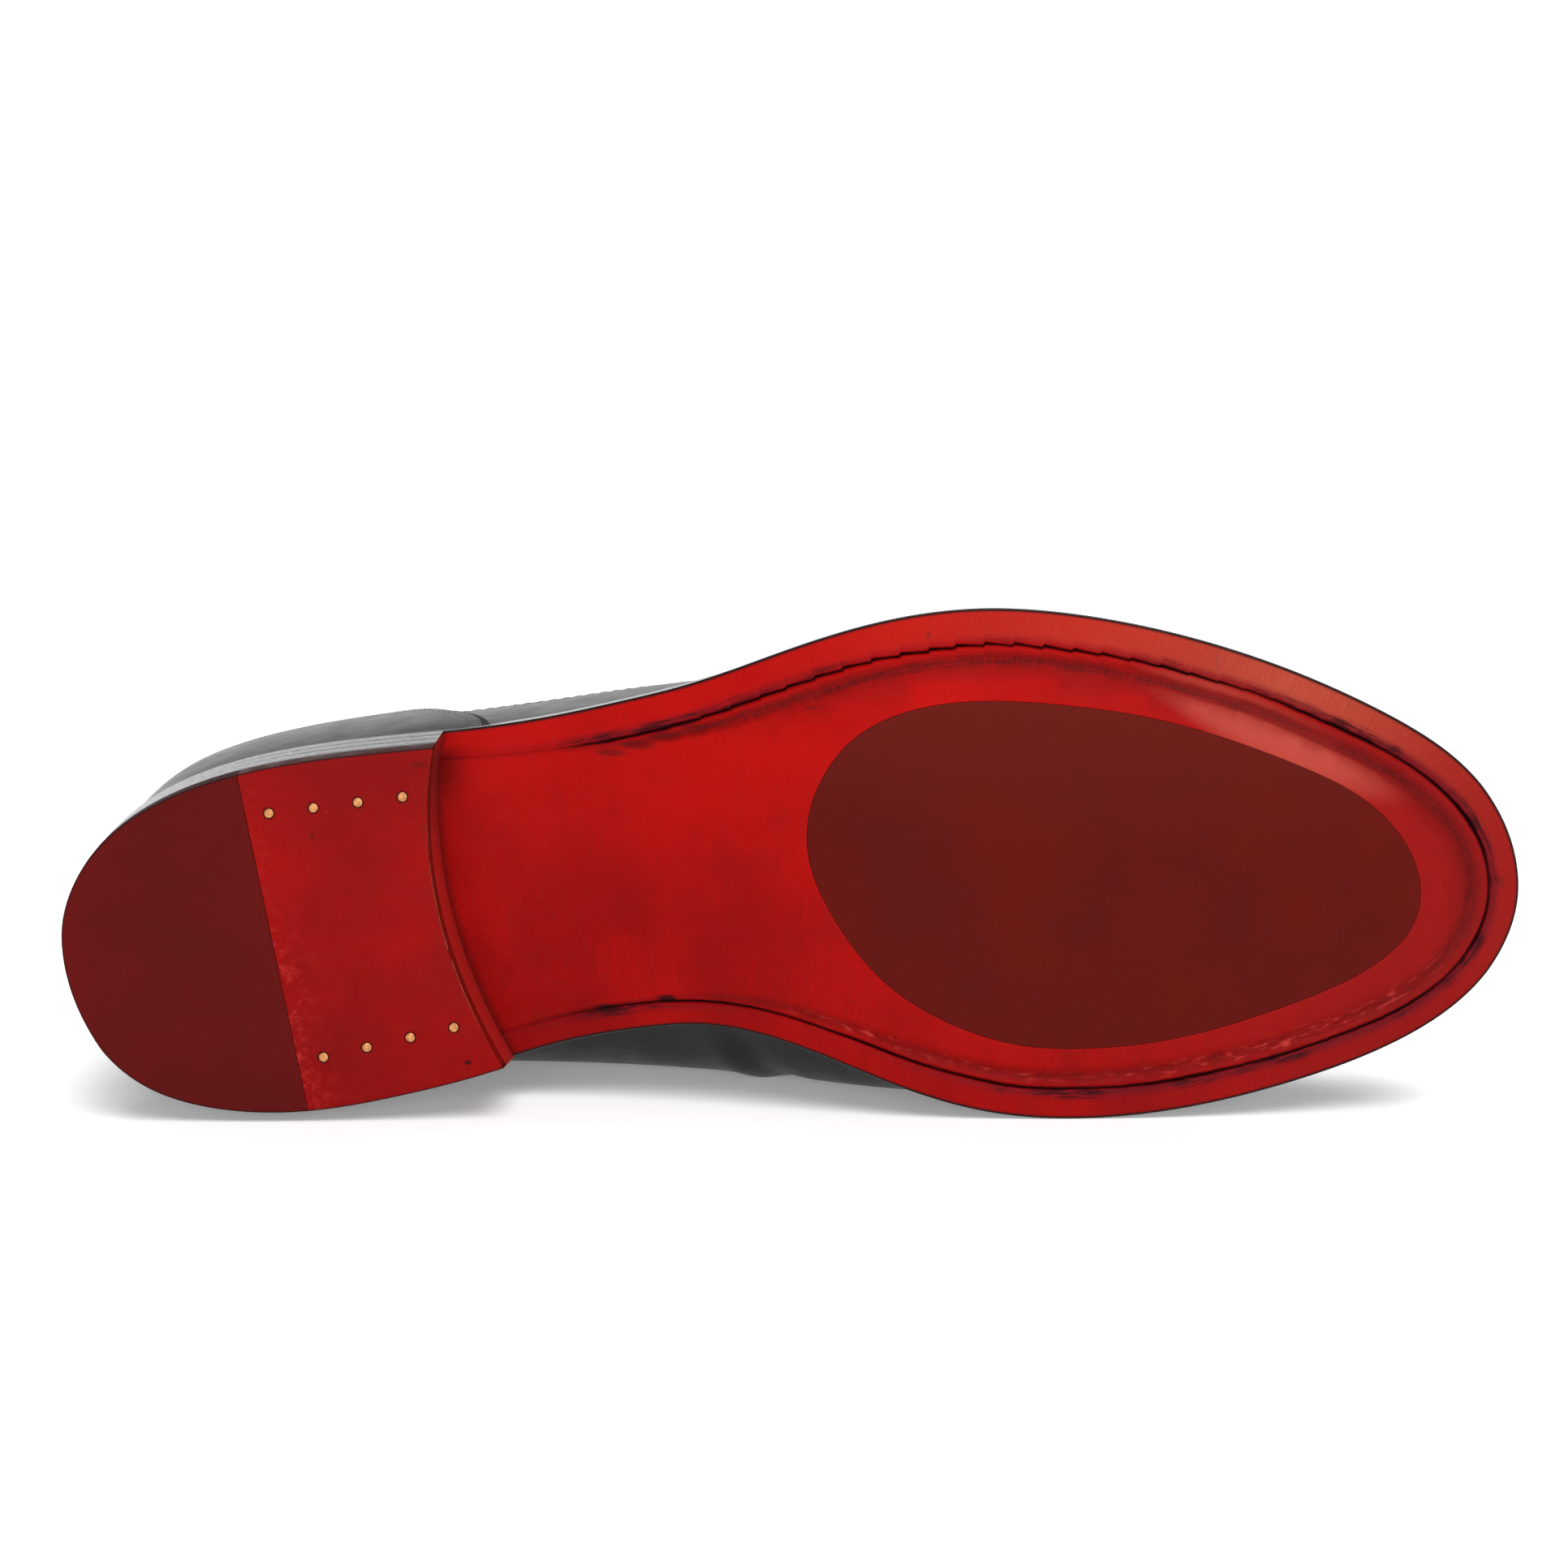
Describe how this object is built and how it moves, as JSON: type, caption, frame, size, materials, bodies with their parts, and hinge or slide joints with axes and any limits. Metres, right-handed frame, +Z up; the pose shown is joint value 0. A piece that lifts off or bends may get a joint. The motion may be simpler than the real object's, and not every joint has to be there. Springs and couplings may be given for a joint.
{
  "type": "tassel loafer",
  "caption": "Right slip-on leather dress shoe with tassels, red leather sole, oval rubber forefoot insert and low stacked heel, lying on its inner side with the sole turned outward.",
  "frame": {"origin": "on the floor under the middle of the shoe's box, as it lies on its inner side", "axes": "+X towards the toe, +Y from the tread to the collar, +Z up from the floor towards the shoe's outer side"},
  "size_m": [0.2578, 0.0842, 0.0901],
  "materials": {
    "sole_leather": "painted red leather, satin, burnished and stained along the stitch channel",
    "sole_rubber": "dark red-brown matte rubber",
    "heel_edge": "dark burnished stacked leather",
    "brass_nail": "ground flush",
    "upper_leather": "smooth black calf, soft shine",
    "insole_leather": "natural tan lining leather"
  },
  "bodies": {
    "root": {"apron_seam": "upper_leather", "counter": "upper_leather", "forefoot_insert": "sole_rubber", "heel_leather": "sole_leather", "heel_nail_1": "brass_nail", "heel_nail_2": "brass_nail", "heel_nail_3": "brass_nail", "heel_nail_4": "brass_nail", "heel_nail_5": "brass_nail", "heel_nail_6": "brass_nail", "heel_nail_7": "brass_nail", "heel_nail_8": "brass_nail", "heel_rubber": "sole_rubber", "heel_stack": "heel_edge", "insole": "insole_leather", "outsole": "sole_leather", "tassel_inner": "upper_leather", "tassel_outer": "upper_leather", "tie_knot": "upper_leather", "tongue": "upper_leather", "upper": "upper_leather"}
  },
  "joints": []
}
